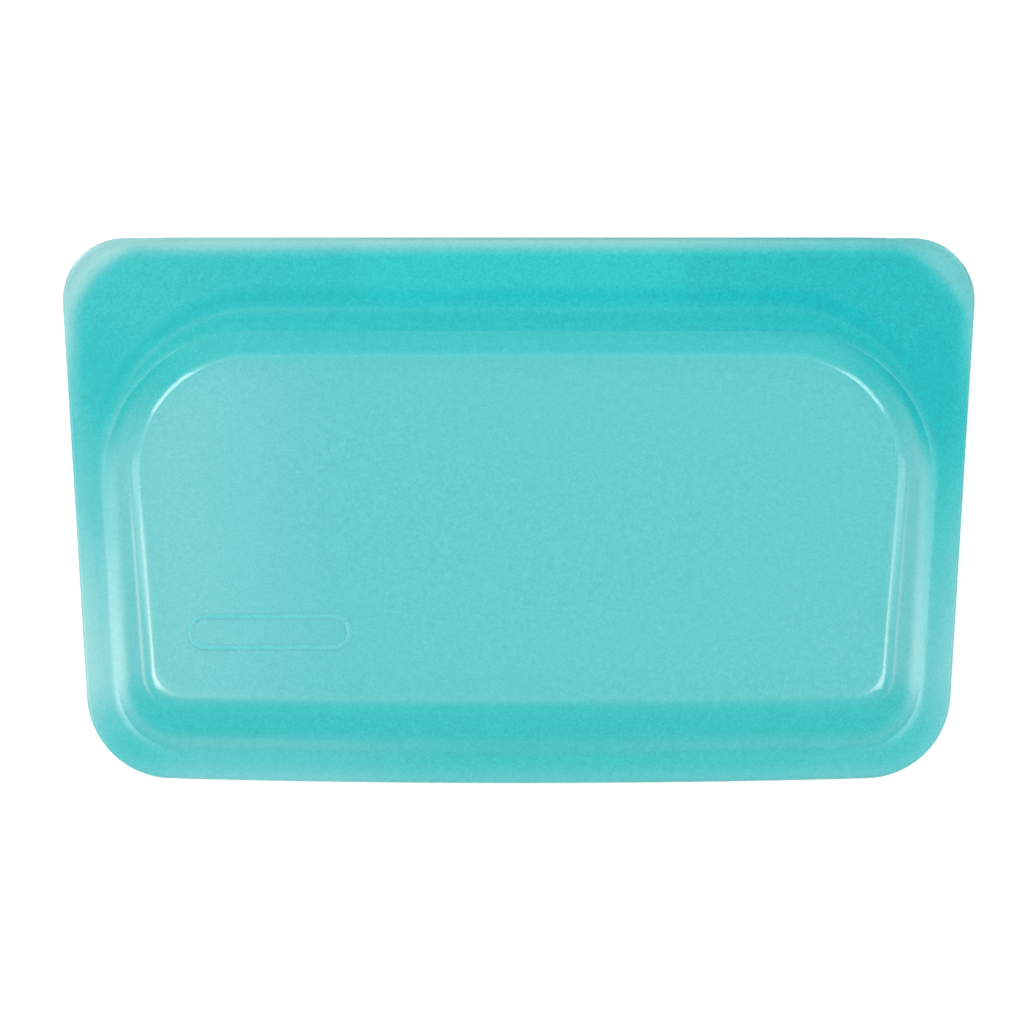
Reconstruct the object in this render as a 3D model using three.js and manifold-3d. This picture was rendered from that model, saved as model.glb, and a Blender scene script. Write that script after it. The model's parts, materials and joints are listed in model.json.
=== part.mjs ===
// A reusable silicone storage bag, lying on its back wall with its mouth towards +Y.
// Millimetres, +Z up. The origin is under the middle of the bag, on the surface that it lies on.
//
// Two moulded walls, each a shallow pocket with a flat rim, are bonded face to face round the
// left, the bottom and the right. Across the mouth each wall ends in a seal strip and a pull lip:
// a tongue on the front strip presses into a groove between two ribs on the back strip.

import * as THREE from "three";
import { mergeVertices } from "three/addons/utils/BufferGeometryUtils.js";
import Module from "manifold-3d";

const wasm = await Module();
wasm.setup();

// ---- Driving dimensions ----

const WALL = 1.1; // thickness of each moulded wall
const POCKET_RISE = 4; // height of each pocket beyond its rim
const BOND = 1.2; // thickness of the bond between the two rims
const SEAL_SPREAD = 0.5; // how far each seal strip stands outside the plane of its rim
const BEAD = 1.2; // width of the rounded edge that the bond shows round the rims
const BOND_WIDTH = 6; // how far the bond reaches in from the edge
const GAP = 0.3; // clearance between neighbouring pieces
const FIT = 0.1; // clearance between pieces that are bonded face to face

const MOUTH_Y = 57; // the mouth edge
const BOTTOM_Y = -56; // the ends of the bottom edge, whose middle bows out to -57
const EDGE_BOW = 1;
const HALF_AT_MOUTH = 96.1; // the leaning sides, carried on to the mouth edge
const HALF_AT_BOTTOM = 89.2;
const MOUTH_RADIUS = 13;
const BOTTOM_RADIUS = 18;

const POCKET_RIM = 1.5; // the flat border that belongs to the front pocket itself
const SEAL_Y = 39.2; // where the rims end and the seal strips begin
const SEAL_HALF = 77.5; // half the free length of the seal strips
const TAB_HALF = 28; // half the length of the part of each lip that is pinched and peeled
const TAB_Y = 49.5; // the line where a lip peels
const LIP_BEVEL = 3; // the lips thin out over this much of their edge
const LIP_EDGE = 0.6; // thickness of the lips at the edge

const TONGUE_Y = 44.6; // centre line of the tongue and its groove
const TONGUE_WIDTH = 2.1;
const GROOVE_PLAY = 0.4; // on each side of the tongue
const RIB_WIDTH = 1.3;
const RIB_HALF = 70;
const STOP_LENGTH = 6; // the solid block that closes each end of the seal

const MARK = { x: -51.6, y: -25.2, length: 34, width: 7.4, stroke: 1, height: 0.3 };

const CORNER_STEPS = 6;
const BOW_STEPS = 6;
const SHOULDER_STEPS = 6;
const ROUND_STEPS = 6; // facets of half a turn on the ribs, the tongue and the mark

const COLOUR = { wall: 0x78cfd1, seal: 0x45c6ca, bond: 0x8fd6d8 };

// ---- Heights that follow from them ----

const backRim = { low: POCKET_RISE, high: POCKET_RISE + WALL };
const frontRim = { low: backRim.high + BOND, high: backRim.high + BOND + WALL };
const backStrip = { low: backRim.low - SEAL_SPREAD, high: backRim.high - SEAL_SPREAD };
const frontStrip = { low: frontRim.low + SEAL_SPREAD, high: frontRim.high + SEAL_SPREAD };
const topZ = frontRim.high + POCKET_RISE;

// ---- Plan outlines: a trapezoid with leaning sides and rounded corners ----

const bagPlan = {
  mouth: MOUTH_Y,
  bottom: BOTTOM_Y,
  halfMouth: HALF_AT_MOUTH,
  halfBottom: HALF_AT_BOTTOM,
  mouthRadius: MOUTH_RADIUS,
  bottomRadius: BOTTOM_RADIUS,
  bow: EDGE_BOW,
};

// The foot of a pocket's shoulder, where it leaves the flat rim.
const footPlan = {
  mouth: 37.4,
  bottom: -49.6,
  halfMouth: 88.2,
  halfBottom: 82.6,
  mouthRadius: 30,
  bottomRadius: 13,
  bow: EDGE_BOW,
};

// The flat of a pocket, at the top of its shoulder.
const flatPlan = {
  mouth: 32,
  bottom: -38,
  halfMouth: 81.2,
  halfBottom: 75.6,
  mouthRadius: 24,
  bottomRadius: 6,
  bow: EDGE_BOW,
};

function between(a, b, share) {
  return Object.fromEntries(Object.keys(a).map((key) => [key, a[key] + (b[key] - a[key]) * share]));
}

// The same plan with every edge moved outwards, or inwards for a negative distance.
function grown(plan, distance) {
  return {
    ...plan,
    mouth: plan.mouth + distance,
    bottom: plan.bottom - distance,
    halfMouth: plan.halfMouth + distance,
    halfBottom: plan.halfBottom + distance,
    mouthRadius: plan.mouthRadius + distance,
    bottomRadius: plan.bottomRadius + distance,
  };
}

// The arc that rounds the corner at b, on the way from a to c.
function cornerArc(a, b, c, radius) {
  const arriving = a.clone().sub(b).normalize();
  const leaving = c.clone().sub(b).normalize();
  const halfAngle = Math.acos(arriving.dot(leaving)) / 2;
  const bisector = arriving.clone().add(leaving).normalize();
  const centre = b.clone().addScaledVector(bisector, radius / Math.sin(halfAngle));
  const start = b.clone().addScaledVector(arriving, radius / Math.tan(halfAngle));
  const sweep = Math.PI - 2 * halfAngle;
  return Array.from({ length: CORNER_STEPS + 1 }, (_, i) =>
    start.clone().rotateAround(centre, (sweep * i) / CORNER_STEPS),
  );
}

// Points of a plan, counter-clockwise, always the same number, so that plans can be lofted.
function planPoints(plan) {
  const corners = [
    [plan.halfMouth, plan.mouth, plan.mouthRadius],
    [-plan.halfMouth, plan.mouth, plan.mouthRadius],
    [-plan.halfBottom, plan.bottom, plan.bottomRadius],
    [plan.halfBottom, plan.bottom, plan.bottomRadius],
  ].map(([x, y, radius]) => ({ at: new THREE.Vector2(x, y), radius }));
  const arcs = corners.map(({ at, radius }, i) =>
    cornerArc(corners[(i + 3) % 4].at, at, corners[(i + 1) % 4].at, radius),
  );
  const edgeStart = arcs[2].at(-1).x;
  const edgeEnd = arcs[3][0].x;
  const bowed = Array.from({ length: BOW_STEPS - 1 }, (_, i) => {
    const x = edgeStart + ((edgeEnd - edgeStart) * (i + 1)) / BOW_STEPS;
    return new THREE.Vector2(x, plan.bottom - plan.bow * (1 - (x / edgeEnd) ** 2));
  });
  return [...arcs[0], ...arcs[1], ...arcs[2], ...bowed, ...arcs[3]];
}

// ---- Solids ----

function toSolid(geometry) {
  const bare = geometry.index ? geometry.toNonIndexed() : geometry.clone();
  const merged = mergeVertices(
    new THREE.BufferGeometry().setAttribute("position", bare.getAttribute("position")),
    1e-4,
  );
  return new wasm.Manifold(
    new wasm.Mesh({
      numProp: 3,
      vertProperties: merged.attributes.position.array,
      triVerts: new Uint32Array(merged.index.array),
    }),
  );
}

function toGeometry(solid) {
  const { vertProperties, triVerts } = solid.getMesh();
  const geometry = new THREE.BufferGeometry();
  geometry.setAttribute("position", new THREE.BufferAttribute(new Float32Array(vertProperties), 3));
  geometry.setIndex(new THREE.BufferAttribute(new Uint32Array(triVerts), 1));
  geometry.computeVertexNormals();
  return geometry;
}

// A flat plate of the given outline between two heights.
function plate(points, low, high) {
  const geometry = new THREE.ExtrudeGeometry(new THREE.Shape(points), {
    depth: high - low,
    bevelEnabled: false,
  });
  return toSolid(geometry.translate(0, 0, low));
}

function block(x0, x1, y0, y1, z0, z1) {
  const geometry = new THREE.BoxGeometry(x1 - x0, y1 - y0, z1 - z0);
  return toSolid(geometry.translate((x0 + x1) / 2, (y0 + y1) / 2, (z0 + z1) / 2));
}

// A bar along X whose section is a list of [y, z] points, counter-clockwise seen from +X.
function bar(section, x0, x1) {
  const shape = new THREE.Shape(section.map(([y, z]) => new THREE.Vector2(y, z)));
  const geometry = new THREE.ExtrudeGeometry(shape, { depth: x1 - x0, bevelEnabled: false });
  // The extrusion runs along +Z: turning Y to Z and Z to X keeps the section's own axes.
  const turn = new THREE.Matrix4().makeBasis(
    new THREE.Vector3(0, 1, 0),
    new THREE.Vector3(0, 0, 1),
    new THREE.Vector3(1, 0, 0),
  );
  return toSolid(geometry.applyMatrix4(turn).translate(x0, 0, 0));
}

// A closed skin through rings that all have the same number of points, capped at both ends.
function loft(rings) {
  const count = rings[0].points.length;
  const positions = rings.flatMap(({ points, z }) => points.flatMap((p) => [p.x, p.y, z]));
  const index = [];
  for (let ring = 0; ring + 1 < rings.length; ring++) {
    for (let i = 0; i < count; i++) {
      const a = ring * count + i;
      const b = ring * count + ((i + 1) % count);
      index.push(a, b, b + count, a, b + count, a + count);
    }
  }
  const last = (rings.length - 1) * count;
  for (const [a, b, c] of THREE.ShapeUtils.triangulateShape(rings[0].points, [])) {
    index.push(c, b, a);
  }
  for (const [a, b, c] of THREE.ShapeUtils.triangulateShape(rings.at(-1).points, [])) {
    index.push(last + a, last + b, last + c);
  }
  const geometry = new THREE.BufferGeometry();
  geometry.setAttribute("position", new THREE.Float32BufferAttribute(positions, 3));
  geometry.setIndex(index);
  return toSolid(geometry);
}

// The shallow shell of one pocket, with a narrow flat border of its own. side is 1 for the front
// wall, whose pocket stands up, and -1 for the back wall, whose pocket stands down.
function pocketShell(side, rim) {
  const outer = side > 0 ? rim.high : rim.low;
  const inner = side > 0 ? rim.low : rim.high;
  const shoulder = Array.from({ length: SHOULDER_STEPS + 1 }, (_, i) => {
    const share = i / SHOULDER_STEPS;
    const rise = POCKET_RISE * THREE.MathUtils.smoothstep(share, 0, 1);
    return { points: planPoints(between(footPlan, flatPlan, share)), rise: side * rise };
  });
  const border = planPoints(grown(footPlan, POCKET_RIM));
  const rings = [
    ...shoulder.map(({ points, rise }) => ({ points, z: inner + rise })).reverse(),
    { points: border, z: inner },
    { points: border, z: outer },
    ...shoulder.map(({ points, rise }) => ({ points, z: outer + rise })),
  ];
  return loft(side > 0 ? rings : rings.reverse());
}

// What the seal strips leave open in the rims: the mouth edge from startY outwards.
function mouthOpening(startY) {
  return block(-SEAL_HALF - GAP, SEAL_HALF + GAP, startY, MOUTH_Y + BEAD, 0, topZ);
}

// The flat rim of a wall: both sides with their mouth corners, and the bottom.
function rimPlate({ low, high }, holePlan, openingStartY) {
  return plate(planPoints(grown(bagPlan, -BEAD - GAP)), low, high)
    .subtract(plate(planPoints(holePlan), low - WALL, high + WALL))
    .subtract(mouthOpening(openingStartY));
}

// The back wall is one moulding: its rim runs into its pocket.
function backWall() {
  const underBorder = grown(footPlan, POCKET_RIM / 2);
  return rimPlate(backRim, underBorder, SEAL_Y).add(pocketShell(-1, backRim));
}

// The front wall's rim stays with the seam while its pocket lifts, so it clears the pocket.
function frontRimPlate() {
  const aroundPocket = grown(footPlan, POCKET_RIM + GAP);
  return rimPlate(frontRim, aroundPocket, SEAL_Y - WALL);
}

// The bond between the two rims, and the rounded edge that it shows outside them.
function edgeSeam() {
  const edge = plate(planPoints(bagPlan), backRim.low, frontRim.high).subtract(
    plate(planPoints(grown(bagPlan, -BEAD)), backRim.low - WALL, frontRim.high + WALL),
  );
  const web = plate(planPoints(grown(bagPlan, -BEAD / 2)), backRim.high + FIT, frontRim.low - FIT);
  const inside = plate(
    planPoints(grown(bagPlan, -BOND_WIDTH)),
    backRim.low - WALL,
    frontRim.high + WALL,
  );
  return edge.add(web.subtract(inside)).subtract(mouthOpening(SEAL_Y - WALL));
}

// Section of a lip and its seal strip: flat inside, bevelled outside near the mouth edge.
function lipSection(side, strip, startY) {
  const inner = side > 0 ? strip.low : strip.high;
  const outer = side > 0 ? strip.high : strip.low;
  const section = [
    [startY, inner],
    [MOUTH_Y, inner],
    [MOUTH_Y, inner + side * LIP_EDGE],
    [MOUTH_Y - LIP_BEVEL, outer],
    [startY, outer],
  ];
  return side > 0 ? section : section.reverse();
}

// The seal strip with its lip, leaving out the stretch of the lip that peels.
function lipStrip(side, strip) {
  const tabHole = block(
    -TAB_HALF - GAP,
    TAB_HALF + GAP,
    TAB_Y - GAP,
    MOUTH_Y + BEAD,
    strip.low - WALL,
    strip.high + WALL,
  );
  return bar(lipSection(side, strip, SEAL_Y + GAP), -SEAL_HALF, SEAL_HALF).subtract(tabHole);
}

const pullTab = (side, strip) => bar(lipSection(side, strip, TAB_Y), -TAB_HALF, TAB_HALF);

// Section of a rib that stands from the height root to the height crown, with a round head.
function ribSection(centreY, width, root, crown) {
  const direction = Math.sign(crown - root);
  const radius = width / 2;
  const head = Array.from({ length: ROUND_STEPS + 1 }, (_, i) => {
    const angle = (Math.PI * i) / ROUND_STEPS;
    const z = crown - direction * radius * (1 - Math.sin(angle));
    return [centreY + radius * Math.cos(angle), z];
  });
  const section = [[centreY + radius, root], ...head, [centreY - radius, root]];
  return direction > 0 ? section : section.reverse();
}

function grooveRib(sign) {
  const centre = TONGUE_Y + sign * (TONGUE_WIDTH / 2 + GROOVE_PLAY + RIB_WIDTH / 2);
  const root = backStrip.high + FIT;
  return bar(ribSection(centre, RIB_WIDTH, root, frontStrip.low - FIT), -RIB_HALF, RIB_HALF);
}

const sealTongue = () =>
  bar(
    ribSection(TONGUE_Y, TONGUE_WIDTH, frontStrip.low - FIT, backStrip.high + GAP),
    -RIB_HALF,
    RIB_HALF,
  );

// The solid end of the seal: it lies on the back strip, and is as wide as both ribs and the groove.
function sealStop(sign) {
  const centreX = sign * (RIB_HALF + GAP + STOP_LENGTH / 2);
  const reach = TONGUE_WIDTH / 2 + GROOVE_PLAY + RIB_WIDTH;
  return block(
    centreX - STOP_LENGTH / 2,
    centreX + STOP_LENGTH / 2,
    TONGUE_Y - reach,
    TONGUE_Y + reach,
    backStrip.high + FIT,
    frontStrip.low - FIT,
  );
}

// A plain raised oval ring, moulded on the front pocket's flat.
function frontMark() {
  const oval = (inset) => {
    const radius = MARK.width / 2 - inset;
    const reach = MARK.length / 2 - MARK.width / 2;
    const shape = new THREE.Shape();
    shape.absarc(MARK.x + reach, MARK.y, radius, -Math.PI / 2, Math.PI / 2);
    shape.absarc(MARK.x - reach, MARK.y, radius, Math.PI / 2, (3 * Math.PI) / 2);
    return shape.getPoints(ROUND_STEPS).slice(0, -1);
  };
  const low = topZ + FIT;
  return plate(oval(0), low, low + MARK.height).subtract(
    plate(oval(MARK.stroke), low - WALL, low + WALL),
  );
}

// ---- The assembly ----

const silicone = (color) => new THREE.MeshStandardMaterial({ color, roughness: 0.45, metalness: 0 });
const wallMaterial = silicone(COLOUR.wall);
const sealMaterial = silicone(COLOUR.seal);
const bondMaterial = silicone(COLOUR.bond);

function piece(name, solid, material) {
  const mesh = new THREE.Mesh(toGeometry(solid), material);
  mesh.name = name;
  return mesh;
}

const backHalf = new THREE.Group().add(
  piece("back_wall", backWall(), wallMaterial),
  piece("back_lip", lipStrip(-1, backStrip), wallMaterial),
  piece("groove_outer_rib", grooveRib(1), sealMaterial),
  piece("groove_inner_rib", grooveRib(-1), sealMaterial),
  piece("seal_stop_left", sealStop(-1), sealMaterial),
  piece("seal_stop_right", sealStop(1), sealMaterial),
  piece("edge_seam", edgeSeam(), bondMaterial),
  piece("front_rim", frontRimPlate(), wallMaterial),
);
const frontHalf = new THREE.Group().add(
  piece("front_pocket", pocketShell(1, frontRim), wallMaterial),
  piece("front_lip", lipStrip(1, frontStrip), wallMaterial),
  piece("seal_tongue", sealTongue(), sealMaterial),
  piece("front_mark", frontMark(), wallMaterial),
);
const pullTabs = new THREE.Group().add(
  piece("front_pull_tab", pullTab(1, frontStrip), wallMaterial),
  piece("back_pull_tab", pullTab(-1, backStrip), wallMaterial),
);

const bag = new THREE.Group();
bag.name = "silicone_bag";
bag.add(backHalf, frontHalf, pullTabs);

export default bag;
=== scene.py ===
"""The looks of a reusable silicone bag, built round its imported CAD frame.

The bag lies on its back wall with its mouth towards +Y. Each wall is a closed skin of rounded
trapezoid rings, from the outer edge through the seal zone and the pocket's shoulder to the middle.
Lengths in this script are millimetres until a mesh is made. The floor and the lights are in metres.
"""

import json
import math

import bmesh
import bpy
import numpy as np
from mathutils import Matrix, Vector


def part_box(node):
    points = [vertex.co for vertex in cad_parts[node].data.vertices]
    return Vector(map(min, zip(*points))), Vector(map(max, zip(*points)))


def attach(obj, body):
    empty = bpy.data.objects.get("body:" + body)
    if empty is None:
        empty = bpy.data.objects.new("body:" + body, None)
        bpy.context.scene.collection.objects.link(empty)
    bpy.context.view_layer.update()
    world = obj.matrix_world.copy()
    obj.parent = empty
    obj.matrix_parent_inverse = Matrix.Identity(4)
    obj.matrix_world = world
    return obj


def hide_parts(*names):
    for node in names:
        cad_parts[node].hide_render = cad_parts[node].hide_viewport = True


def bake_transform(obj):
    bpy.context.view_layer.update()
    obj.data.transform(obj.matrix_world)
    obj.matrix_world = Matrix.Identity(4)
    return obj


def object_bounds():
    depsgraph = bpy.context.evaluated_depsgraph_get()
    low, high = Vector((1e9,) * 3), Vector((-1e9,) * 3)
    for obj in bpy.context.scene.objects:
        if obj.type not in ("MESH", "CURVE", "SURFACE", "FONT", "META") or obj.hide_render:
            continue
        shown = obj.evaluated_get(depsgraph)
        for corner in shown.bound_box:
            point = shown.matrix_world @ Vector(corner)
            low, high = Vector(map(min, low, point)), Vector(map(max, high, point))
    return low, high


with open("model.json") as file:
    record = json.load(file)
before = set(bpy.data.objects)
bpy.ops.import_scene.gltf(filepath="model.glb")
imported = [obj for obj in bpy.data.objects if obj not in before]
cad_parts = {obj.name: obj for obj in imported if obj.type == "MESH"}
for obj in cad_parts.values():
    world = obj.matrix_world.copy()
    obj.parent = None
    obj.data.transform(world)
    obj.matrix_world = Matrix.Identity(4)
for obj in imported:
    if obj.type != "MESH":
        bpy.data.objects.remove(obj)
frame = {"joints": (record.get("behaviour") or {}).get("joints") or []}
cad_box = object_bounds()

MM = 0.001
TOUCH = 0.01  # points closer than this are in the same place

# ---- Sizes that the frame gives ----


def box_mm(node):
    """Lowest and highest corner of a CAD node, in millimetres."""
    low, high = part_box(node)
    return np.array(low) / MM, np.array(high) / MM


def joint_pivot(name):
    """A joint's pivot, in millimetres."""
    joint = next(j for j in frame["joints"] if j["name"] == name)
    return np.array(joint["pos_m"]) / MM


bag_low, bag_high = (np.array(corner) / MM for corner in cad_box)
rim_low, rim_high = box_mm("front_rim")
back_high = box_mm("back_wall")[1]
pocket_high = box_mm("front_pocket")[1]
strip_low, strip_high = box_mm("front_lip")
tab_low, tab_high = box_mm("front_pull_tab")
mark_low, mark_high = box_mm("front_mark")

MOUTH_Y = bag_high[1]
MID_Z = (back_high[2] + rim_low[2]) / 2  # the plane between the two walls
RIM_OUT = rim_high[2] - MID_Z  # heights above or below that plane
RIM_IN = rim_low[2] - MID_Z
STRIP_OUT = strip_high[2] - MID_Z
STRIP_IN = strip_low[2] - MID_Z
POCKET_OUT = pocket_high[2] - MID_Z
WALL = RIM_OUT - RIM_IN
SEAL_HALF = strip_high[0]
TAB_HALF = tab_high[0]
TAB_Y = tab_low[1]
HINGE_Y = joint_pivot("mouth_open")[1]

# ---- Plan of the rings: a trapezoid with leaning sides and rounded corners ----

PLAN_KEYS = ("mouth", "bottom", "half_mouth", "half_bottom", "mouth_radius", "bottom_radius", "bow")
# Ring position: 0 is the outer edge, 1 the foot of the shoulder, 2 the flat, 3 the middle.
EDGE, SEAL_OUTER, SEAL_INNER, FOOT, FLAT, MIDDLE = 0.0, 0.33, 0.75, 1.0, 2.0, 3.0
# Values in the order of PLAN_KEYS. EDGE and FOOT are the CAD rim's outline and its pocket's foot.
PLANS = {
    EDGE: (57.0, -56.0, 96.1, 89.2, 13.0, 18.0, 1.0),
    SEAL_OUTER: (50.5, -53.9, 93.5, 87.0, 40.0, 16.4, 1.0),
    SEAL_INNER: (42.3, -51.2, 90.2, 84.2, 34.0, 14.2, 1.0),
    FOOT: (37.4, -49.6, 88.2, 82.6, 30.0, 13.0, 1.0),
    FLAT: (31.6, -38.0, 80.5, 74.9, 23.3, 6.0, 1.0),
    MIDDLE: (-3.0, -4.0, 55.0, 55.0, 0.4, 0.4, 0.0),
}
STRAIGHT_HALF = 50.0  # the rings' columns stand at the same x as far out as this
STRAIGHT_STEPS = 50
EDGE_END_STEPS = 8  # steps from there to the corner's arc
MOUTH_CORNER_STEPS = 18
SIDE_STEPS = 34
BOTTOM_CORNER_STEPS = 14


def smooth(low, high, value):
    """0 at low, 1 at high, and a smooth S between them. low may be the larger one."""
    t = np.clip((value - low) / (high - low), 0, 1)
    return t * t * (3 - 2 * t)


def bump(value, centre, half_width):
    """1 at the centre, falling smoothly to 0 at half_width to either side."""
    return smooth(half_width, 0, np.abs(value - centre))


def mixed(a, b, share):
    """a where share is 0, b where it is 1."""
    return a + (b - a) * share


def plan_at(position):
    """The plan at a ring position, between the plans above."""
    stops = sorted(PLANS)
    sizes = zip(*(PLANS[stop] for stop in stops))
    return {key: np.interp(position, stops, values) for key, values in zip(PLAN_KEYS, sizes)}


def grown(plan, distance):
    """The same plan with every edge moved outwards."""
    bigger = dict(plan)
    for key in ("mouth", "half_mouth", "half_bottom", "mouth_radius", "bottom_radius"):
        bigger[key] += distance
    bigger["bottom"] -= distance
    return bigger


def corner_arc(before, corner, after, radius, steps):
    """Points of the arc that rounds a corner, on the way from before to after."""
    arriving = (before - corner) / np.linalg.norm(before - corner)
    leaving = (after - corner) / np.linalg.norm(after - corner)
    half_angle = math.acos(arriving @ leaving) / 2
    bisector = (arriving + leaving) / np.linalg.norm(arriving + leaving)
    centre = corner + bisector * radius / math.sin(half_angle)
    spoke = corner + arriving * radius / math.tan(half_angle) - centre
    turn = np.linspace(0, math.pi - 2 * half_angle, steps + 1)
    x = spoke[0] * np.cos(turn) - spoke[1] * np.sin(turn)
    y = spoke[0] * np.sin(turn) + spoke[1] * np.cos(turn)
    return centre + np.stack([x, y], axis=1)


def edge_columns(end):
    """x of the columns along the mouth or bottom edge, from end to -end, both left out."""
    outer = np.linspace(end, STRAIGHT_HALF, EDGE_END_STEPS + 1)[1:-1]
    inner = np.linspace(STRAIGHT_HALF, -STRAIGHT_HALF, STRAIGHT_STEPS + 1)
    return np.concatenate([outer, inner, -outer[::-1]])


def ring_points(plan):
    """A ring's points, counter-clockwise from the right end of the mouth edge."""
    corners = [
        np.array([plan["half_mouth"], plan["mouth"]]),
        np.array([-plan["half_mouth"], plan["mouth"]]),
        np.array([-plan["half_bottom"], plan["bottom"]]),
        np.array([plan["half_bottom"], plan["bottom"]]),
    ]
    radii = [plan["mouth_radius"]] * 2 + [plan["bottom_radius"]] * 2
    steps = [MOUTH_CORNER_STEPS] * 2 + [BOTTOM_CORNER_STEPS] * 2
    arcs = [
        corner_arc(corners[i - 1], corners[i], corners[(i + 1) % 4], radii[i], steps[i])
        for i in range(4)
    ]
    mouth_x = edge_columns(arcs[0][-1][0])
    mouth = np.stack([mouth_x, np.full(len(mouth_x), plan["mouth"])], axis=1)
    end = arcs[3][0][0]
    bottom_x = -edge_columns(end)
    bowed = plan["bottom"] - plan["bow"] * (1 - (bottom_x / end) ** 2)
    bottom = np.stack([bottom_x, bowed], axis=1)
    share = np.linspace(0, 1, SIDE_STEPS + 1)[1:-1, None]
    left = arcs[1][-1] + (arcs[2][0] - arcs[1][-1]) * share
    right = arcs[3][-1] + (arcs[0][0] - arcs[3][-1]) * share
    runs = [arcs[0][-1:], mouth, arcs[1], left, arcs[2], bottom, arcs[3], right, arcs[0][:-1]]
    return np.concatenate(runs)


def distance_to(points, ring):
    """Distance from each point to a closed ring."""
    start = ring[None, :, :]
    step = np.roll(ring, -1, axis=0)[None, :, :] - start
    way = points[:, None, :] - start
    share = np.clip((way * step).sum(2) / (step**2).sum(2), 0, 1)
    return np.linalg.norm(way - step * share[..., None], axis=2).min(1)


def ring_positions():
    """Ring positions, close together at the edge and in the shoulder, and the index where tabs end."""
    tab_ring = (MOUTH_Y - TAB_Y) / (MOUTH_Y - PLANS[FOOT][0])
    edge = [0, 0.003, 0.008, 0.015, 0.025, 0.04, 0.06, 0.085, 0.115, 0.15]
    lip = list(np.linspace(0.15, tab_ring, 8)[1:])
    seal = list(np.linspace(tab_ring, 0.984, 22)[1:]) + [0.992, 0.996, FOOT, 1.004, 1.008]
    shoulder = list(np.linspace(1.02, 1.97, 30)) + [1.98, 1.987, 1.994, FLAT]
    flat = [2.02, 2.05, 2.09, 2.15, 2.23] + list(np.linspace(2.3, MIDDLE, 8))
    return np.array(edge + lip + seal + shoulder + flat), len(edge) + len(lip) - 1


# ---- Surfaces of a wall ----

EDGE_ROUND = 0.6  # reach of the rounding on the bonded rim
LIP_ROUND = 0.35  # and on the free lip
EDGE_STEP = 0.02  # keeps a wall's outer and inner face apart at the very edge
LIP_EDGE = 0.6  # thickness of a lip at its edge
LIP_BEVEL = 3.0  # the lips thin out over this much of their edge
BOND_IN = 0.1  # height of a wall's bonded face over the mid plane
# Ring positions of the bands that the seal shows: a pale line with a dark one on each side.
SEAL_DARK, SEAL_LINE, SEAL_DARK_INNER = 0.63, 0.765, 0.885
# Tilt of the shoulder's surface, in degrees, at shares of the way from the foot to the flat.
SIDE_TILTS = (
    (0.0, 0.0),
    (0.08, 4.0),
    (0.16, 13.0),
    (0.34, 20.0),
    (0.52, 43.0),
    (0.78, 43.0),
    (0.95, 19.0),
    (0.99, 6.0),
    (1.0, 0.0),
)
CORNER_TILTS = (
    (0.0, 0.0),
    (0.187, 7.0),
    (0.193, 30.0),
    (0.82, 30.0),
    (0.88, 18.0),
    (0.96, 13.0),
    (0.99, 5.0),
    (1.0, 0.0),
)
TOE = 0.19  # share of the shoulder that lies outside its foot ring
TOP_TOE = 0.9  # where the toe begins at the seal; at the sides it begins at the seal's inner ring
INNER_INSET = 0.5  # how much closer to the middle the inner face's shoulder stands
CLIMB_STEPS = 200
SAG = 0.5  # of the front wall's middle
SAG_HALF_X = 82.0  # how far from its middle the sag reaches
SAG_HALF_Y = 40.0
SAG_MIDDLE_Y = -3.5
WAVE = 0.1  # height of the front wall's slow ripple


def wave(x, y):
    """A slow, uneven ripple between about -1 and 1."""
    return (
        0.45 * np.sin(0.071 * x + 0.043 * y + 0.6)
        + 0.35 * np.sin(0.052 * x - 0.118 * y + 2.1)
        + 0.2 * np.sin(0.133 * x + 0.151 * y + 4.0)
    )


def free_mouth(x, y):
    """1 where the lips are free of each other, 0 where the rims are bonded."""
    return smooth(SEAL_HALF + 1.5, SEAL_HALF - 7, np.abs(x)) * smooth(30, 37, y)


def rounded(share):
    """Height of a rounded edge, as a share of the full height."""
    return np.sqrt(1 - (1 - np.clip(share, 0, 1)) ** 2)


def climb(share, tilts):
    """Height, 0 to 1, at a share of the way up a slope with the given tilts."""
    at = np.linspace(0, 1, CLIMB_STEPS + 1)
    slope = np.tan(np.radians(np.interp(at, *zip(*tilts))))
    height = np.concatenate([[0], np.cumsum((slope[1:] + slope[:-1]) / 2)])
    return np.interp(share, at, height / height[-1])


def shoulder_rise(position, y):
    """Height up the shoulder, 0 at its toe and 1 at the flat."""
    start = TOP_TOE + (SEAL_INNER - TOP_TOE) * smooth(32, 12, y)
    toe = np.clip((position - start) / (FOOT - start), 0, 1)
    share = TOE * toe + (1 - TOE) * np.clip(position - FOOT, 0, 1)
    side = climb(share, SIDE_TILTS)
    at_corner = np.maximum(smooth(4, 18, y), smooth(-34, -46, y))
    return side + (climb(share, CORNER_TILTS) - side) * at_corner


def seal_relief(position, strength):
    """The seal's ribs, showing faintly through the outer face: a ridge between two grooves."""
    ridge = 0.1 * bump(position, SEAL_LINE, 0.06)
    groove = 0.08 * bump(position, SEAL_DARK, 0.09)
    inner_groove = 0.08 * bump(position, SEAL_DARK_INNER, 0.055)
    return strength * (ridge - groove - inner_groove)


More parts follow.
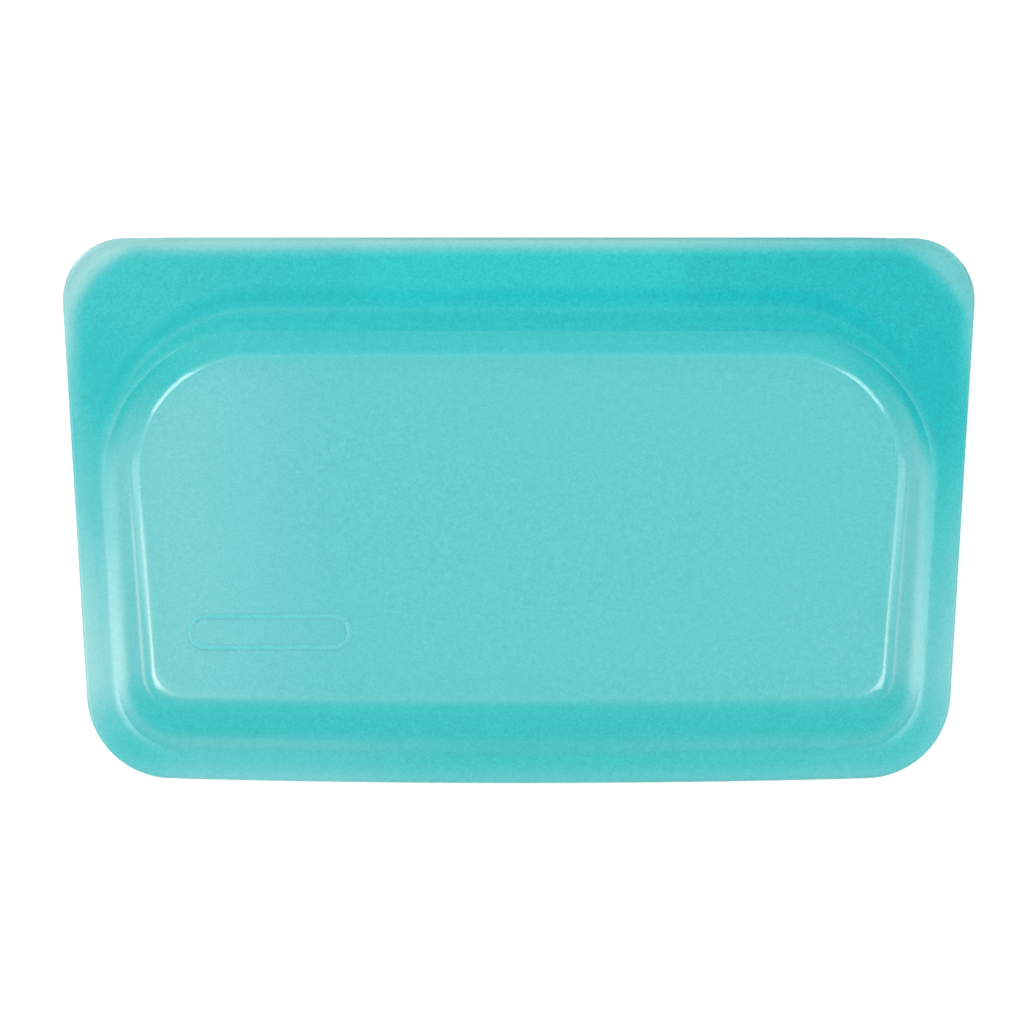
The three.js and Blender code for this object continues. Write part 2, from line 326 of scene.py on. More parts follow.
def wall_heights(position, x, y, inset):
    """Heights of a wall's outer and inner face over the mid plane."""
    free = free_mouth(x, y)
    band = smooth(12, 40, y)
    rise = shoulder_rise(position, y)
    outer = mixed(RIM_OUT, STRIP_OUT, band)
    outer = mixed(outer, POCKET_OUT, rise)
    outer += seal_relief(position, band * smooth(72, 52, np.abs(x)))
    bevel = WALL - LIP_EDGE
    outer -= bevel * smooth(LIP_BEVEL, 0, inset) * free
    edge_out = mixed(BOND_IN, STRIP_IN + LIP_EDGE / 2, free)
    reach = mixed(EDGE_ROUND, LIP_ROUND, free)
    outer = edge_out + EDGE_STEP + (outer - edge_out - EDGE_STEP) * rounded(inset / reach)

    bonded = (1 - free) * smooth(0.93, 0.78, position)
    inner = mixed(RIM_IN, STRIP_IN, free)
    inner = mixed(inner, POCKET_OUT - WALL, rise)
    inner = mixed(inner, BOND_IN, bonded)
    lip_edge = (1 - rounded(inset / LIP_ROUND)) * free * LIP_EDGE / 2
    return outer, inner + lip_edge


def slack(position, x, y):
    """How far the soft front wall sags, and its slow ripple, in the pocket and its shoulder."""
    across = 1 - np.clip(x / SAG_HALF_X, -1, 1) ** 2
    along = 1 - np.clip((y - SAG_MIDDLE_Y) / SAG_HALF_Y, -1, 1) ** 2
    return (WAVE * wave(x, y) - SAG * across * along) * smooth(FOOT, FLAT, position)


# ---- Colour, gloss and shade of a wall ----

# The silicone isn't see-through here, so what thickness and the back wall do to its colour is painted:
# each term below is an amount of depth over a stretch of x, y or ring position. Some terms paint light
# and shade instead: painted shade for the weaker light at the right end, painted highlights along the
# shoulders, and painted shade at the very edge.


def rightness(x):
    """0 at the bag's left end and 1 at its right end, where the light is weaker; the terms that use it
    paint that difference in light as painted light and shade.
    """
    return smooth(-95, 95, x)


def bottomness(y):
    """1 along the bottom of the rim, 0 above it."""
    return smooth(-34, -52, y)


def edge_fade(x, y, inset):
    """How much paler the rim turns towards its edge, most of all over the lips and their corners."""
    corner = smooth(79, 88, np.abs(x)) * smooth(40, 49, y)
    towards_ends = smooth(20, 70, np.abs(x)) * smooth(48, 54, y)
    reach = 4.6 + 0.4 * towards_ends + (2.9 + 1.1 * rightness(x)) * corner
    strength = 0.1 + 0.42 * smooth(12, 48, y) + 0.05 * bottomness(y)
    return strength * smooth(reach, reach - 4.2, inset)


def rim_depth(position, x, y, inset):
    """Depth of the colour on the rim: along the sides, the bottom and the seal."""
    right = rightness(x)
    at_bottom = bottomness(y)
    # The terms with right are painted shade and light for the weaker light at the right end, mostly
    # deepening the colour there.
    along_sides = 0.27 + 0.38 * smooth(-34, 28, y) + (0.17 + 0.2 * smooth(4, 24, y)) * right
    along_bottom = 0.62 - 0.08 * smooth(50, 84, np.abs(x)) * (1 - 0.35 * right)
    along_bottom = along_bottom - 0.1 * bump(x, -48, 40)
    seal = 0.68 + 0.06 * smooth(-75, 0, x) + 0.18 * right * smooth(20, 70, x)
    seal = seal + 0.17 * bump(position, SEAL_DARK, 0.16) + 0.04 * bump(position, SEAL_DARK_INNER, 0.05)
    rim = mixed(along_sides, along_bottom, at_bottom)
    rim = mixed(rim, seal, smooth(8, 34, y))
    # Deeper round the two ends of the seal and in the two lower corners.
    rim = rim + 0.13 * bump(np.hypot(np.abs(x) - 87, (y - 29) / 1.5), 0, 9)
    rim = rim + (0.18 - 0.08 * right) * smooth(68, 84, np.abs(x)) * at_bottom
    return rim - edge_fade(x, y, inset)


def seal_line_and_painted_highlights(position, x, y):
    """Pale lines round the bag: the seal's own pale line, and painted highlights at the shoulder's foot
    and beside and under the flat's highlight.
    """
    right = rightness(x)
    at_bottom = bottomness(y)
    # On the seal the pale line is the silicone's own colour; down the sides it runs on as a painted
    # highlight, the pale ridge at the shoulder's foot.
    down = smooth(37, 2, y)
    strength = 0.08 + (0.09 * right - 0.02) * down
    seal_line = strength * bump(position, SEAL_LINE + 0.38 * down, 0.05 + 0.23 * down)
    seal_line = seal_line * (1 - at_bottom)
    # Painted highlight: the same pale ridge at the shoulder's foot, along the bottom.
    foot_line = (0.1 - 0.04 * right) * bump(position, 1.14, 0.16)
    foot_line = foot_line * smooth(0, 50, np.abs(x)) * at_bottom
    # Painted highlight: a pale line beside the flat's highlight on the sides, and another under that
    # highlight, which the strips also draw as a real reflection.
    painted_glint = 0.32 * bump(position, 1.69, 0.07) + 0.22 * bump(position, 1.95, 0.1)
    painted_glint = painted_glint * smooth(12, -8, y) * smooth(-41, -36, y) * (1 - 0.4 * right)
    return seal_line + foot_line + painted_glint


def wall_depth(position, x, y, inset):
    """How deep the silicone's colour is: 0 is pale and thin, 1 is deep and thick. Besides thickness it
    carries painted light and shade: the difference in light between the ends, the flat's paler left end
    and the painted highlights.
    """
    up_slope = position - FOOT
    low_slope = smooth(-31, -44, y)
    slope = 0.4 + 0.3 * smooth(10, 34, y) + 0.29 * low_slope
    # Painted light: the flat is painted paler towards the left end, where the light is stronger.
    flat = 0.44 - 0.08 * smooth(-30, -75, x)
    flat_from = 0.5 + 0.2 * smooth(8, 34, y) + 0.36 * low_slope
    depth = mixed(rim_depth(position, x, y, inset), slope, smooth(0, 0.4, up_slope))
    depth = mixed(depth, flat, smooth(flat_from, 1.1, up_slope))
    return depth - seal_line_and_painted_highlights(position, x, y)


def wall_gloss(position, y):
    """1 where the surface is polished: at the flat's edge, along the sides and round the corners."""
    at_sides = smooth(33.2, 29, y) * smooth(-41, -37.5, y)
    return bump(position, FLAT - 0.15, 0.45) * at_sides


def wall_shade(x, y, inset):
    """How much painted shade darkens the silicone at its very edge, where the rounded edge catches
    light, more at the right end, and over the bevel of the lips.
    """
    at_edge = (0.17 + 0.1 * rightness(x)) * smooth(0.9, 0.1, inset)
    return at_edge + 0.12 * smooth(3.2, 0.6, inset) * smooth(40, 50, y)


def wall_grid(side):
    """Both faces of a wall, ring by ring, with what the material reads. side is -1 for the back."""
    positions, tab_ring = ring_positions()
    outer, inner, depth, gloss, shade = [], [], [], [], []
    edge = ring_points(plan_at(EDGE))
    for position in positions:
        plan = plan_at(position)
        faces = []
        shift = INNER_INSET * smooth(0.9, 1, position) * smooth(2.4, 2, position)
        for points in (ring_points(plan), ring_points(grown(plan, -shift))):
            faces.append((points, distance_to(points, edge)))
        (out_xy, inset), (in_xy, in_inset) = faces
        out_height = wall_heights(position, out_xy[:, 0], out_xy[:, 1], inset)[0]
        in_height = wall_heights(position, in_xy[:, 0], in_xy[:, 1], in_inset)[1]
        if side > 0:
            out_height = out_height + slack(position, out_xy[:, 0], out_xy[:, 1])
            in_height = in_height + slack(position, in_xy[:, 0], in_xy[:, 1])
        outer.append(np.column_stack([out_xy, MID_Z + side * out_height]))
        inner.append(np.column_stack([in_xy, MID_Z + side * in_height]))
        depth.append(wall_depth(position, out_xy[:, 0], out_xy[:, 1], inset))
        gloss.append(wall_gloss(position, out_xy[:, 1]))
        shade.append(wall_shade(out_xy[:, 0], out_xy[:, 1], inset))
    return {
        "outer": np.array(outer),
        "inner": np.array(inner),
        "depth": np.array(depth),
        "gloss": np.array(gloss),
        "shade": np.array(shade),
        "tab_ring": tab_ring,
        "side": side,
    }


def tab_columns(grid):
    """Which columns' cells belong to the stretch of lip that peels."""
    x = grid["outer"][0, :, 0]
    y = grid["outer"][0, :, 1]
    middle = (x + np.roll(x, -1)) / 2
    return (np.abs(middle) < TAB_HALF) & (y > MOUTH_Y - TOUCH)


# ---- Meshes ----

SHARP = math.radians(50)  # an edge that turns more than this is shaded sharp
CUT_FADE = 4.0  # how far from a pull tab's cuts the light under the surface is back to full


def make_mesh(name, vertices, faces, material, depth, gloss=0.0, shade=0.0, cloudy=0.0):
    """A smooth-shaded mesh object from millimetres, with sharp edges at its corners.

    depth, gloss, shade and cloudy, which the material reads, are one number or one for each vertex.
    """
    used = np.unique(np.concatenate([np.asarray(face) for face in faces]))
    renumber = np.full(len(vertices), -1)
    renumber[used] = np.arange(len(used))
    mesh = bpy.data.meshes.new(name)
    renumbered = [[int(renumber[v]) for v in face] for face in faces]
    mesh.from_pydata((vertices[used] * MM).tolist(), [], renumbered)
    for key, value in (("depth", depth), ("gloss", gloss), ("shade", shade), ("cloudy", cloudy)):
        everywhere = np.broadcast_to(np.asarray(value, np.float32), len(vertices))
        attribute = mesh.attributes.new(key, "FLOAT", "POINT")
        attribute.data.foreach_set("value", everywhere[used])
    work = bmesh.new()
    work.from_mesh(mesh)
    for face in work.faces:
        face.smooth = True
    for edge in work.edges:
        edge.smooth = not (len(edge.link_faces) == 2 and edge.calc_face_angle() > SHARP)
    work.to_mesh(mesh)
    work.free()
    mesh.materials.append(material)
    piece = bpy.data.objects.new(name, mesh)
    bpy.context.scene.collection.objects.link(piece)
    return piece


def cloudiness(vertices):
    """How much light spreads under the surface: less near the cuts round a pull tab."""
    across = np.maximum(np.abs(vertices[:, 0]) - TAB_HALF - CUT_FADE, 0)
    down = np.maximum(TAB_Y - CUT_FADE - vertices[:, 1], 0)
    return smooth(0, CUT_FADE, np.hypot(across, down))


def shell_piece(name, grid, cells, material):
    """The closed shell over the chosen cells of a grid, capped in the middle if they reach it."""
    rings, columns = grid["depth"].shape
    inner_start = rings * columns
    vertices = np.concatenate([grid["outer"].reshape(-1, 3), grid["inner"].reshape(-1, 3)])
    depth = np.tile(grid["depth"].ravel(), 2)
    gloss = np.tile(grid["gloss"].ravel(), 2)
    shade = np.tile(grid["shade"].ravel(), 2)

    def vertex(ring, column):
        return ring * columns + column % columns

    faces = []
    for ring, column in zip(*np.nonzero(cells)):
        a = vertex(ring, column)
        b = vertex(ring, column + 1)
        c = vertex(ring + 1, column + 1)
        d = vertex(ring + 1, column)
        faces.append((a, b, c, d))
        faces.append((d + inner_start, c + inner_start, b + inner_start, a + inner_start))
        neighbours = (
            (ring > 0 and cells[ring - 1, column], a, b),
            (cells[ring, (column + 1) % columns], b, c),
            (ring + 1 >= rings - 1 or cells[ring + 1, column], c, d),
            (cells[ring, column - 1], d, a),
        )
        for joined, start, end in neighbours:
            if not joined:
                faces.append((end, start, start + inner_start, end + inner_start))
    if cells[-1].any():
        cap = middle_cap(grid["outer"][-1])
        last = (rings - 1) * columns
        faces += [tuple(last + v for v in face) for face in cap]
        faces += [tuple(inner_start + last + v for v in reversed(face)) for face in cap]
    if grid["side"] < 0:
        faces = [tuple(reversed(face)) for face in faces]
    return make_mesh(name, vertices, faces, material, depth, gloss, shade, cloudiness(vertices))


def middle_cap(ring):
    """Faces that close the last ring, a slot along X: a ladder of quads with an end at each side."""
    count = len(ring)
    middle_y = ring[:, 1].mean()
    straight = [i for i in range(count) if abs(ring[i, 0]) <= STRAIGHT_HALF + TOUCH]
    mouth = [i for i in straight if ring[i, 1] > middle_y]
    bottom = [i for i in straight if ring[i, 1] <= middle_y][::-1]
    ladder = [(mouth[i], mouth[i + 1], bottom[i + 1], bottom[i]) for i in range(len(mouth) - 1)]
    left_end = tuple(range(mouth[-1], bottom[-1] + 1))
    right_end = tuple(range(bottom[0], count)) + tuple(range(0, mouth[0] + 1))
    return ladder + [left_end, right_end]


# ---- Materials ----


def linear(red, green, blue):
    """A display colour, 0 to 255, as linear light."""
    shares = [v / 255 for v in (red, green, blue)]
    return [s / 12.92 if s <= 0.04045 else ((s + 0.055) / 1.055) ** 2.4 for s in shares] + [1.0]


# Colour of the silicone at rising depth.
DEPTH_COLOURS = (
    (0.0, linear(165, 202, 202)),
    (0.25, linear(127, 192, 192)),
    (0.45, linear(90, 182, 184)),
    (0.7, linear(42, 176, 178)),
    (1.0, linear(0, 168, 173)),
)
IOR = 1.41
SPECULAR = 0.65
ROUGH = 0.235  # of the satin silicone
SMOOTH = 0.09  # and where it is polished
ROUGH_CLOUDS = 0.05  # how much the clouds add to the roughness
CLOUDY = 0.5  # share of the light that spreads under the surface
SPREAD = (0.5, 1.0, 1.0)  # of red, green and blue, as shares of SPREAD_REACH
SPREAD_REACH = 2.0
CLOUDS = 0.06  # how much the soft and the fine speckles change the depth
GRAIN = 0.11
CLOUD_SCALE = 700.0  # speckles to the metre, roughly
GRAIN_SCALE = 2600.0
SPECKLE_TONE = -5.0  # how much the speckles change the tone where the colour is deep
RELIEF = 0.12
RELIEF_HEIGHT = 0.03


def add_node(tree, kind, **inputs):
    """A new node, with its inputs set by name."""
    node = tree.nodes.new(kind)
    for name, value in inputs.items():
        node.inputs[name.replace("_", " ")].default_value = value
    return node


def attribute_node(tree, name):
    """The output of a node that reads a number stored on the mesh."""
    node = tree.nodes.new("ShaderNodeAttribute")
    node.attribute_name = name
    return node.outputs["Fac"]


def math_node(tree, operation, *values):
    """A math node's output; each value is a number or another node's output."""
    node = tree.nodes.new("ShaderNodeMath")
    node.operation = operation
    for socket, value in zip(node.inputs, values):
        if isinstance(value, bpy.types.NodeSocket):
            tree.links.new(value, socket)
        else:
            socket.default_value = value
    return node.outputs[0]


def speckle_nodes(tree):
    """Soft clouds, fine grain, and the two together as a speckle round 0."""
    place = tree.nodes.new("ShaderNodeTexCoord")
    clouds = add_node(tree, "ShaderNodeTexNoise", Scale=CLOUD_SCALE, Detail=6.0, Roughness=0.6)
    grain = add_node(tree, "ShaderNodeTexNoise", Scale=GRAIN_SCALE, Detail=2.0, Roughness=0.5)
    speckle = 0.0
    for noise, amount in ((clouds, CLOUDS), (grain, GRAIN)):
        tree.links.new(place.outputs["Object"], noise.inputs["Vector"])
        centred = math_node(tree, "SUBTRACT", noise.outputs["Fac"], 0.5)
        speckle = math_node(tree, "MULTIPLY_ADD", centred, amount, speckle)
    return clouds.outputs["Fac"], grain.outputs["Fac"], speckle


def silicone_colour(tree, speckle):
    """The colour of a depth, speckled, and darker where the mesh has shade."""
    depth = attribute_node(tree, "depth")
    ramp = tree.nodes.new("ShaderNodeValToRGB")
    elements = ramp.color_ramp.elements
    for at, _ in DEPTH_COLOURS[2:]:
        elements.new(at)
    for element, (at, colour) in zip(elements, DEPTH_COLOURS):
        element.position = at
        element.color = colour
    tree.links.new(math_node(tree, "ADD", depth, speckle), ramp.inputs["Fac"])
    deep_speckle = math_node(tree, "MULTIPLY", depth, speckle)
    tone = math_node(tree, "MULTIPLY_ADD", deep_speckle, SPECKLE_TONE, 1.0)
    tone = math_node(tree, "SUBTRACT", tone, attribute_node(tree, "shade"))
    toned = tree.nodes.new("ShaderNodeVectorMath")
    toned.operation = "SCALE"
    tree.links.new(ramp.outputs["Color"], toned.inputs["Vector"])
    tree.links.new(tone, toned.inputs["Scale"])
    return toned.outputs["Vector"]


def silicone_material(name):
    """Satin, cloudy silicone: depth sets its colour, and gloss polishes it."""
    material = bpy.data.materials.new(name)
    material.use_nodes = True
    tree = material.node_tree
    link = tree.links.new
    shader = tree.nodes["Principled BSDF"]
    shader.inputs["IOR"].default_value = IOR
    shader.inputs["Specular IOR Level"].default_value = SPECULAR
    shader.inputs["Subsurface Radius"].default_value = SPREAD
    shader.inputs["Subsurface Scale"].default_value = SPREAD_REACH * MM
    spread = math_node(tree, "MULTIPLY", attribute_node(tree, "cloudy"), CLOUDY)
    link(spread, shader.inputs["Subsurface Weight"])

    clouds, grain, speckle = speckle_nodes(tree)
    link(silicone_colour(tree, speckle), shader.inputs["Base Color"])

    roughness = add_node(tree, "ShaderNodeMapRange", To_Min=ROUGH, To_Max=SMOOTH)
    link(attribute_node(tree, "gloss"), roughness.inputs["Value"])
    uneven = math_node(tree, "MULTIPLY_ADD", clouds, ROUGH_CLOUDS, roughness.outputs["Result"])
    link(uneven, shader.inputs["Roughness"])

    relief = add_node(tree, "ShaderNodeBump", Strength=RELIEF, Distance=RELIEF_HEIGHT * MM)
    link(grain, relief.inputs["Height"])
    link(relief.outputs["Normal"], shader.inputs["Normal"])
    return material


wall_silicone = silicone_material("wall_silicone")
seal_silicone = silicone_material("seal_silicone")
bond_silicone = silicone_material("bond_silicone")

# ---- How far the front wall and the lips would follow the opening ----

OPEN_OUT = TAB_HALF  # from here to OPEN_END the front wall's lift fades out
OPEN_END = SEAL_HALF - 0.5
HINGE_FADE = 10.0
TAB_SIDE_FADE = 9.0
TAB_BEND = 2.5


def open_weight(x, y):
    """How fully a point of the front wall follows the opening: an eye-shaped mouth."""
    t = np.clip((OPEN_END - np.abs(x)) / (OPEN_END - OPEN_OUT), 0, 1)
    across = t**3 * (10 - 15 * t + 6 * t**2)
    along = smooth(HINGE_Y, HINGE_Y + HINGE_FADE, y)
    return across * along


def tab_weight(x, y):
    """How fully a point of a pull tab follows the peel: not at its sides and its root."""
    across = smooth(TAB_HALF, TAB_HALF - TAB_SIDE_FADE, np.abs(x))
    along = smooth(TAB_Y, TAB_Y + TAB_BEND, y)
    return across * along


def bend_piece(piece, weight):
    """Bakes the piece's place into its mesh and works out the share that weight gives at each point;
    the shares are not used further.
    """
    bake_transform(piece)
    points = np.array([v.co for v in piece.data.vertices]) / MM
    shares = weight(points[:, 0], points[:, 1]).astype(np.float32)


# ---- The walls ----


def make_wall(side, skin_name, tab_name):
    """A wall's skin, and the stretch of its lip that peels, which share their cut."""
    grid = wall_grid(side)
    rings, columns = grid["depth"].shape
    tab_cells = np.zeros((rings - 1, columns), bool)
    tab_cells[: grid["tab_ring"]] = tab_columns(grid)
    skin = shell_piece(skin_name, grid, ~tab_cells, wall_silicone)
    tab = shell_piece(tab_name, grid, tab_cells, wall_silicone)
    return skin, tab


front_skin, front_tab = make_wall(1, "front_wall_skin", "front_lip_tab")
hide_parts("front_rim", "front_pocket", "front_lip")
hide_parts("front_pull_tab")
bend_piece(front_skin, open_weight)
bend_piece(front_tab, tab_weight)

back_skin, back_tab = make_wall(-1, "back_wall_skin", "back_lip_tab")
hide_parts("back_wall", "back_lip")
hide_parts("back_pull_tab")
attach(back_skin, "bag_back")
bend_piece(back_tab, tab_weight)

# ---- The bond between the rims ----

BOND_WIDTH = 6.0
BOND_SHY = 0.12  # how far the bond stays inside the walls' edge
BOND_HALF = BOND_IN * 0.9  # half its thickness, just short of the walls' faces
BOND_DEPTH = 0.4
BOND_SHADE = 0.12


def make_bond():
    """The thin band between the two rims, open along the mouth."""
    rings = [ring_points(grown(plan_at(EDGE), -d)) for d in (BOND_SHY, BOND_WIDTH / 2, BOND_WIDTH)]
    high = [np.column_stack([ring, np.full(len(ring), MID_Z + BOND_HALF)]) for ring in rings]
    low = [np.column_stack([ring, np.full(len(ring), MID_Z - BOND_HALF)]) for ring in rings]
    shape = (len(rings), len(rings[0]))
    grid = {
        "outer": np.array(high),
        "inner": np.array(low),
        "depth": np.full(shape, BOND_DEPTH),
        "gloss": np.zeros(shape),
        "shade": np.full(shape, BOND_SHADE),
        "side": 1,
    }
    x, y = rings[0][:, 0], rings[0][:, 1]
    at_mouth = (y > TAB_Y) & (np.abs(x) < SEAL_HALF)
    inside_mouth = at_mouth | np.roll(at_mouth, -1)
    cells = np.tile(~inside_mouth, (len(rings) - 1, 1))
    return band_piece("edge_bond", grid, cells, bond_silicone)


def band_piece(name, grid, cells, material):
    """As shell_piece, for a band that is open in the middle."""
    padded = dict(grid)
    for key in ("outer", "inner", "depth", "gloss", "shade"):
        padded[key] = np.concatenate([grid[key], grid[key][-1:]])
    padded_cells = np.concatenate([cells, np.zeros_like(cells[:1])])
    return shell_piece(name, padded, padded_cells, material)


bond = make_bond()
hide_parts("edge_seam")
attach(bond, "bag_back")

# ---- The seal: a tongue, two ribs and a block at each end ----

BAR_STEP = 2.0
BAR_TAPER = 3.0  # length of the tapering end
BAR_BLUNT = 0.3  # how much of the taper its blunt tip leaves out
HEAD_STEPS = 10
SEAL_DEPTH = 0.8  # depth of the colour, which is deep where the silicone is thick
EMBED = 0.15  # how far a bar's root reaches into its wall


def bar_piece(name, node, root_is_low):
    """A bar along X in the space of a CAD node, with a round head and tapering ends."""
    low, high = box_mm(node)
    centre_y = (low[1] + high[1]) / 2
    radius = (high[1] - low[1]) / 2
    direction = 1 if root_is_low else -1
    root = (low[2] if root_is_low else high[2]) - direction * EMBED
    crown = high[2] if root_is_low else low[2]
    turn = np.linspace(0, math.pi, HEAD_STEPS + 1)
    head = [(radius * math.cos(a), crown - direction * radius * (1 - math.sin(a))) for a in turn]
    section = [(radius, root)] + head + [(-radius, root)]
    stations = np.arange(low[0], high[0] + BAR_STEP / 2, BAR_STEP)
    vertices = []
    for x in stations:
        taper = rounded((min(x - low[0], high[0] - x) + BAR_BLUNT) / BAR_TAPER)
        for y, z in section:
            vertices.append((x, centre_y + y, root + (z - root) * taper))
    count = len(section)
    faces = []
    for i in range(len(stations) - 1):
        for j in range(count):
            k = (j + 1) % count
            faces.append((i * count + j, i * count + k, (i + 1) * count + k, (i + 1) * count + j))
    last = (len(stations) - 1) * count
    faces.append(tuple(range(count))[::-1])
    faces.append(tuple(range(last, last + count)))
    if root_is_low:
        faces = [tuple(reversed(face)) for face in faces]
    vertices = np.array(vertices)
    piece = make_mesh(name, vertices, faces, seal_silicone, depth=SEAL_DEPTH)
    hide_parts(node)
    return piece


tongue = bar_piece("press_tongue", "seal_tongue", root_is_low=False)
bend_piece(tongue, open_weight)
for rib_name, rib_node in (("outer_rib", "groove_outer_rib"), ("inner_rib", "groove_inner_rib")):
    rib = bar_piece(rib_name, rib_node, root_is_low=True)
    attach(rib, "bag_back")

BLOCK_ROUND = 0.7
BLOCK_ROUND_STEPS = 4


def block_piece(name, node):
    """A block in the space of a CAD node, with rounded edges."""
    low, high = box_mm(node)
    work = bmesh.new()
    bmesh.ops.create_cube(work, size=1)
    for v in work.verts:
        share = np.array(v.co) + 0.5
        v.co = Vector((low + (high - low) * share) * MM)
    bmesh.ops.bevel(
        work,
        geom=work.edges[:],
        offset=BLOCK_ROUND * MM,
        segments=BLOCK_ROUND_STEPS,
        profile=0.5,
        affect="EDGES",
    )
    vertices = np.array([v.co for v in work.verts]) / MM
    faces = [[v.index for v in face.verts] for face in work.faces]
    work.free()
    piece = make_mesh(name, vertices, faces, seal_silicone, depth=SEAL_DEPTH)
    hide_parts(node)
    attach(piece, "bag_back")
    return piece


block_piece("seal_end_left", "seal_stop_left")
block_piece("seal_end_right", "seal_stop_right")

# ---- The raised oval on the front ----

MARK_BEAD = 0.5  # half the bead's width
MARK_RISE = 0.13
MARK_DEPTH = 0.45
MARK_ARC_STEPS = 24
MARK_RUN_STEPS = 16
MARK_ROUND_STEPS = 12


def oval_path(centre, reach, radius):
    """Points round an oval, each with its outward angle: two half circles and two straight runs."""
    path = []
    for side in (1, -1):
        for turn in np.linspace(0, math.pi, MARK_ARC_STEPS + 1):
            angle = turn - side * math.pi / 2
            x = centre[0] + side * reach + radius * math.cos(angle)
            path.append((x, centre[1] + radius * math.sin(angle), angle))
        for share in np.linspace(0, 1, MARK_RUN_STEPS + 1)[1:-1]:
            x = centre[0] + side * reach * (1 - 2 * share)
            path.append((x, centre[1] + radius * math.sin(angle), angle))
    return path


def make_mark():
    """The bead of the oval, which follows the sagging flat and stands a little above it."""
    centre = (mark_low + mark_high) / 2
    radius = (mark_high[1] - mark_low[1]) / 2 - MARK_BEAD
    reach = (mark_high[0] - mark_low[0]) / 2 - MARK_BEAD - radius
    path = oval_path(centre, reach, radius)
    around = np.linspace(0, 2 * math.pi, MARK_ROUND_STEPS, endpoint=False)
    vertices = []
    for x, y, a in path:
        for b in around:
            out = MARK_BEAD * math.cos(b)
            px, py = x + out * math.cos(a), y + out * math.sin(a)
            surface = MID_Z + POCKET_OUT + slack(FLAT, np.array(px), np.array(py))
            vertices.append((px, py, float(surface) + MARK_RISE * math.sin(b)))
    count = len(around)
    faces = []
    for i in range(len(path)):
        for j in range(count):
            k, n = (j + 1) % count, (i + 1) % len(path)
            faces.append((i * count + j, n * count + j, n * count + k, i * count + k))
    vertices = np.array(vertices)
    return make_mesh("front_oval", vertices, faces, wall_silicone, depth=MARK_DEPTH)


mark = make_mark()
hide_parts("front_mark")
bend_piece(mark, open_weight)

# ---- Floor, light and camera ----

FLOOR_REACH = 0.5
FLOOR_GLOW = 0.2


def make_floor():
    """A square, pale, matt floor with a faint glow, so that it stays white near the bag."""
    mesh = bpy.data.meshes.new("floor")
    corners = [(x * FLOOR_REACH, y * FLOOR_REACH, 0) for x, y in ((-1, -1), (1, -1), (1, 1), (-1, 1))]
    mesh.from_pydata(corners, [], [(0, 1, 2, 3)])
    floor = bpy.data.objects.new("floor", mesh)
    bpy.context.scene.collection.objects.link(floor)
    material = bpy.data.materials.new("pale_floor")
    material.use_nodes = True
    shader = material.node_tree.nodes["Principled BSDF"]
    shader.inputs["Base Color"].default_value = (0.97, 0.97, 0.97, 1)
    shader.inputs["Roughness"].default_value = 0.9
    shader.inputs["Specular IOR Level"].default_value = 0.1
    shader.inputs["Emission Color"].default_value = (1, 1, 1, 1)
    shader.inputs["Emission Strength"].default_value = FLOOR_GLOW
    mesh.materials.append(material)


def area_light(name, place, size, power):
    """A soft light that faces the bag. size is (width, length along Y)."""
    data = bpy.data.lights.new(name, "AREA")
    data.shape = "RECTANGLE"
    data.size, data.size_y = size
    data.energy = power
    light = bpy.data.objects.new(name, data)
    light.location = place
    aim = Vector((0, 0, 0)) - Vector(place)
    light.rotation_euler = aim.to_track_quat("-Z", "Y").to_euler()
    bpy.context.scene.collection.objects.link(light)
    return light


STRIP_X = 0.44
STRIP_Z = 0.75
STRIP_WIDTH = 0.24
STRIP_POWER = 2.05
RIGHT_SHARE = 0.8  # power of the right strips, as a share of the left ones'
FRONT_STRIP_Y, FRONT_STRIP_LENGTH = -0.19, 0.34
MOUTH_STRIP_Y, MOUTH_STRIP_LENGTH = 0.34, 0.30
SIDE_STRIP_X, SIDE_STRIP_Z = 0.8, 0.8
SIDE_STRIP_SIZE = (0.2, 1.0)
SIDE_POWER = 1.7
SOFTBOX_Y, SOFTBOX_Z = 1.3, 1.0
SOFTBOX_SIZE = (2.4, 1.5)
SOFTBOX_POWER = 7.0
MOUTH_SHARE = 1.25  # power of the softbox at the mouth, as a share of the mean


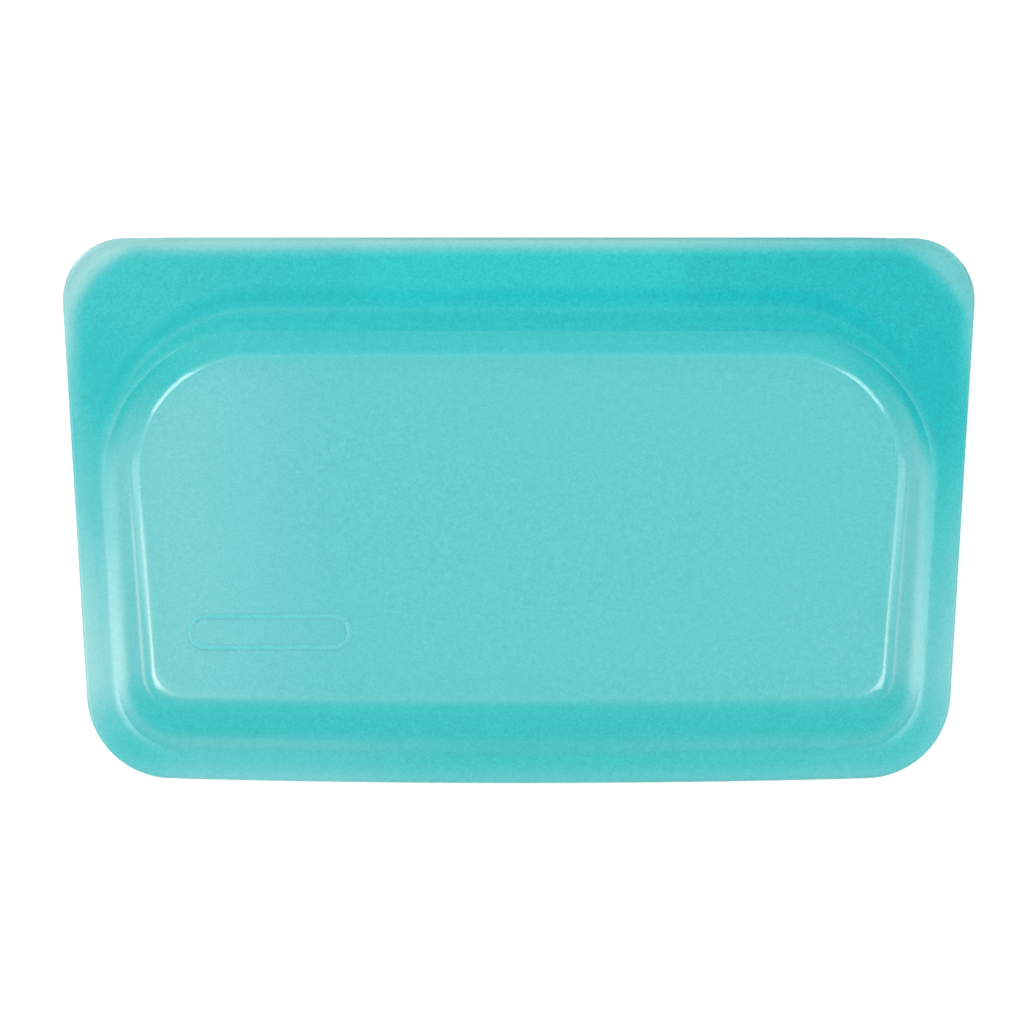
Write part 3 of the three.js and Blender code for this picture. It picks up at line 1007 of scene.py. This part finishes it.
def make_lights():
    """Narrow strips that draw the highlights at each side, and two broad, even softboxes."""
    for side, power in ((-1, STRIP_POWER), (1, STRIP_POWER * RIGHT_SHARE)):
        front = (side * STRIP_X, FRONT_STRIP_Y, STRIP_Z)
        mouth = (side * STRIP_X, MOUTH_STRIP_Y, STRIP_Z)
        beside = (side * SIDE_STRIP_X, 0.0, SIDE_STRIP_Z)
        area_light("front_strip", front, (STRIP_WIDTH, FRONT_STRIP_LENGTH), power)
        area_light("mouth_strip", mouth, (STRIP_WIDTH, MOUTH_STRIP_LENGTH), power)
        area_light("side_strip", beside, SIDE_STRIP_SIZE, SIDE_POWER)
    mouth_power = SOFTBOX_POWER * MOUTH_SHARE
    bottom_power = SOFTBOX_POWER * (2 - MOUTH_SHARE)
    area_light("mouth_softbox", (0.0, SOFTBOX_Y, SOFTBOX_Z), SOFTBOX_SIZE, mouth_power)
    area_light("bottom_softbox", (0.0, -SOFTBOX_Y, SOFTBOX_Z), SOFTBOX_SIZE, bottom_power)


HORIZON_LIGHT = 1.0
ZENITH_LIGHT = 0.22
# Sines of the heights above the horizon between which the light fades.
FADE_FROM = 0.12
FADE_TO = 0.35


def make_world():
    """A white sky that is bright at the horizon and dimmer overhead."""
    world = bpy.data.worlds.new("studio")
    world.use_nodes = True
    sky = world.node_tree
    direction = sky.nodes.new("ShaderNodeTexCoord")
    parts = sky.nodes.new("ShaderNodeSeparateXYZ")
    fade = add_node(
        sky,
        "ShaderNodeMapRange",
        From_Min=FADE_FROM,
        From_Max=FADE_TO,
        To_Min=HORIZON_LIGHT,
        To_Max=ZENITH_LIGHT,
    )
    sky.links.new(direction.outputs["Generated"], parts.inputs["Vector"])
    sky.links.new(parts.outputs["Z"], fade.inputs["Value"])
    sky.links.new(fade.outputs["Result"], sky.nodes["Background"].inputs["Strength"])
    sky.nodes["Background"].inputs["Color"].default_value = (1, 1, 1, 1)
    bpy.context.scene.world = world


LENS = 100.0
SENSOR = 36.0
BAG_SHARE = 0.8896  # of the picture's width
CAMERA_X = -1.4  # a little left of the bag's middle, and towards its bottom edge
CAMERA_Y = -0.3


def make_camera():
    """A camera straight above the bag, at the height that gives the bag its share of the picture."""
    data = bpy.data.cameras.new("camera")
    data.lens = LENS
    data.sensor_width = SENSOR
    camera = bpy.data.objects.new("camera", data)
    distance = (bag_high[0] - bag_low[0]) / BAG_SHARE * LENS / SENSOR
    camera.location = (CAMERA_X * MM, CAMERA_Y * MM, (MID_Z + distance) * MM)
    bpy.context.scene.collection.objects.link(camera)
    bpy.context.scene.camera = camera


make_floor()
make_lights()
make_world()
make_camera()
bpy.context.scene.view_settings.view_transform = "Standard"
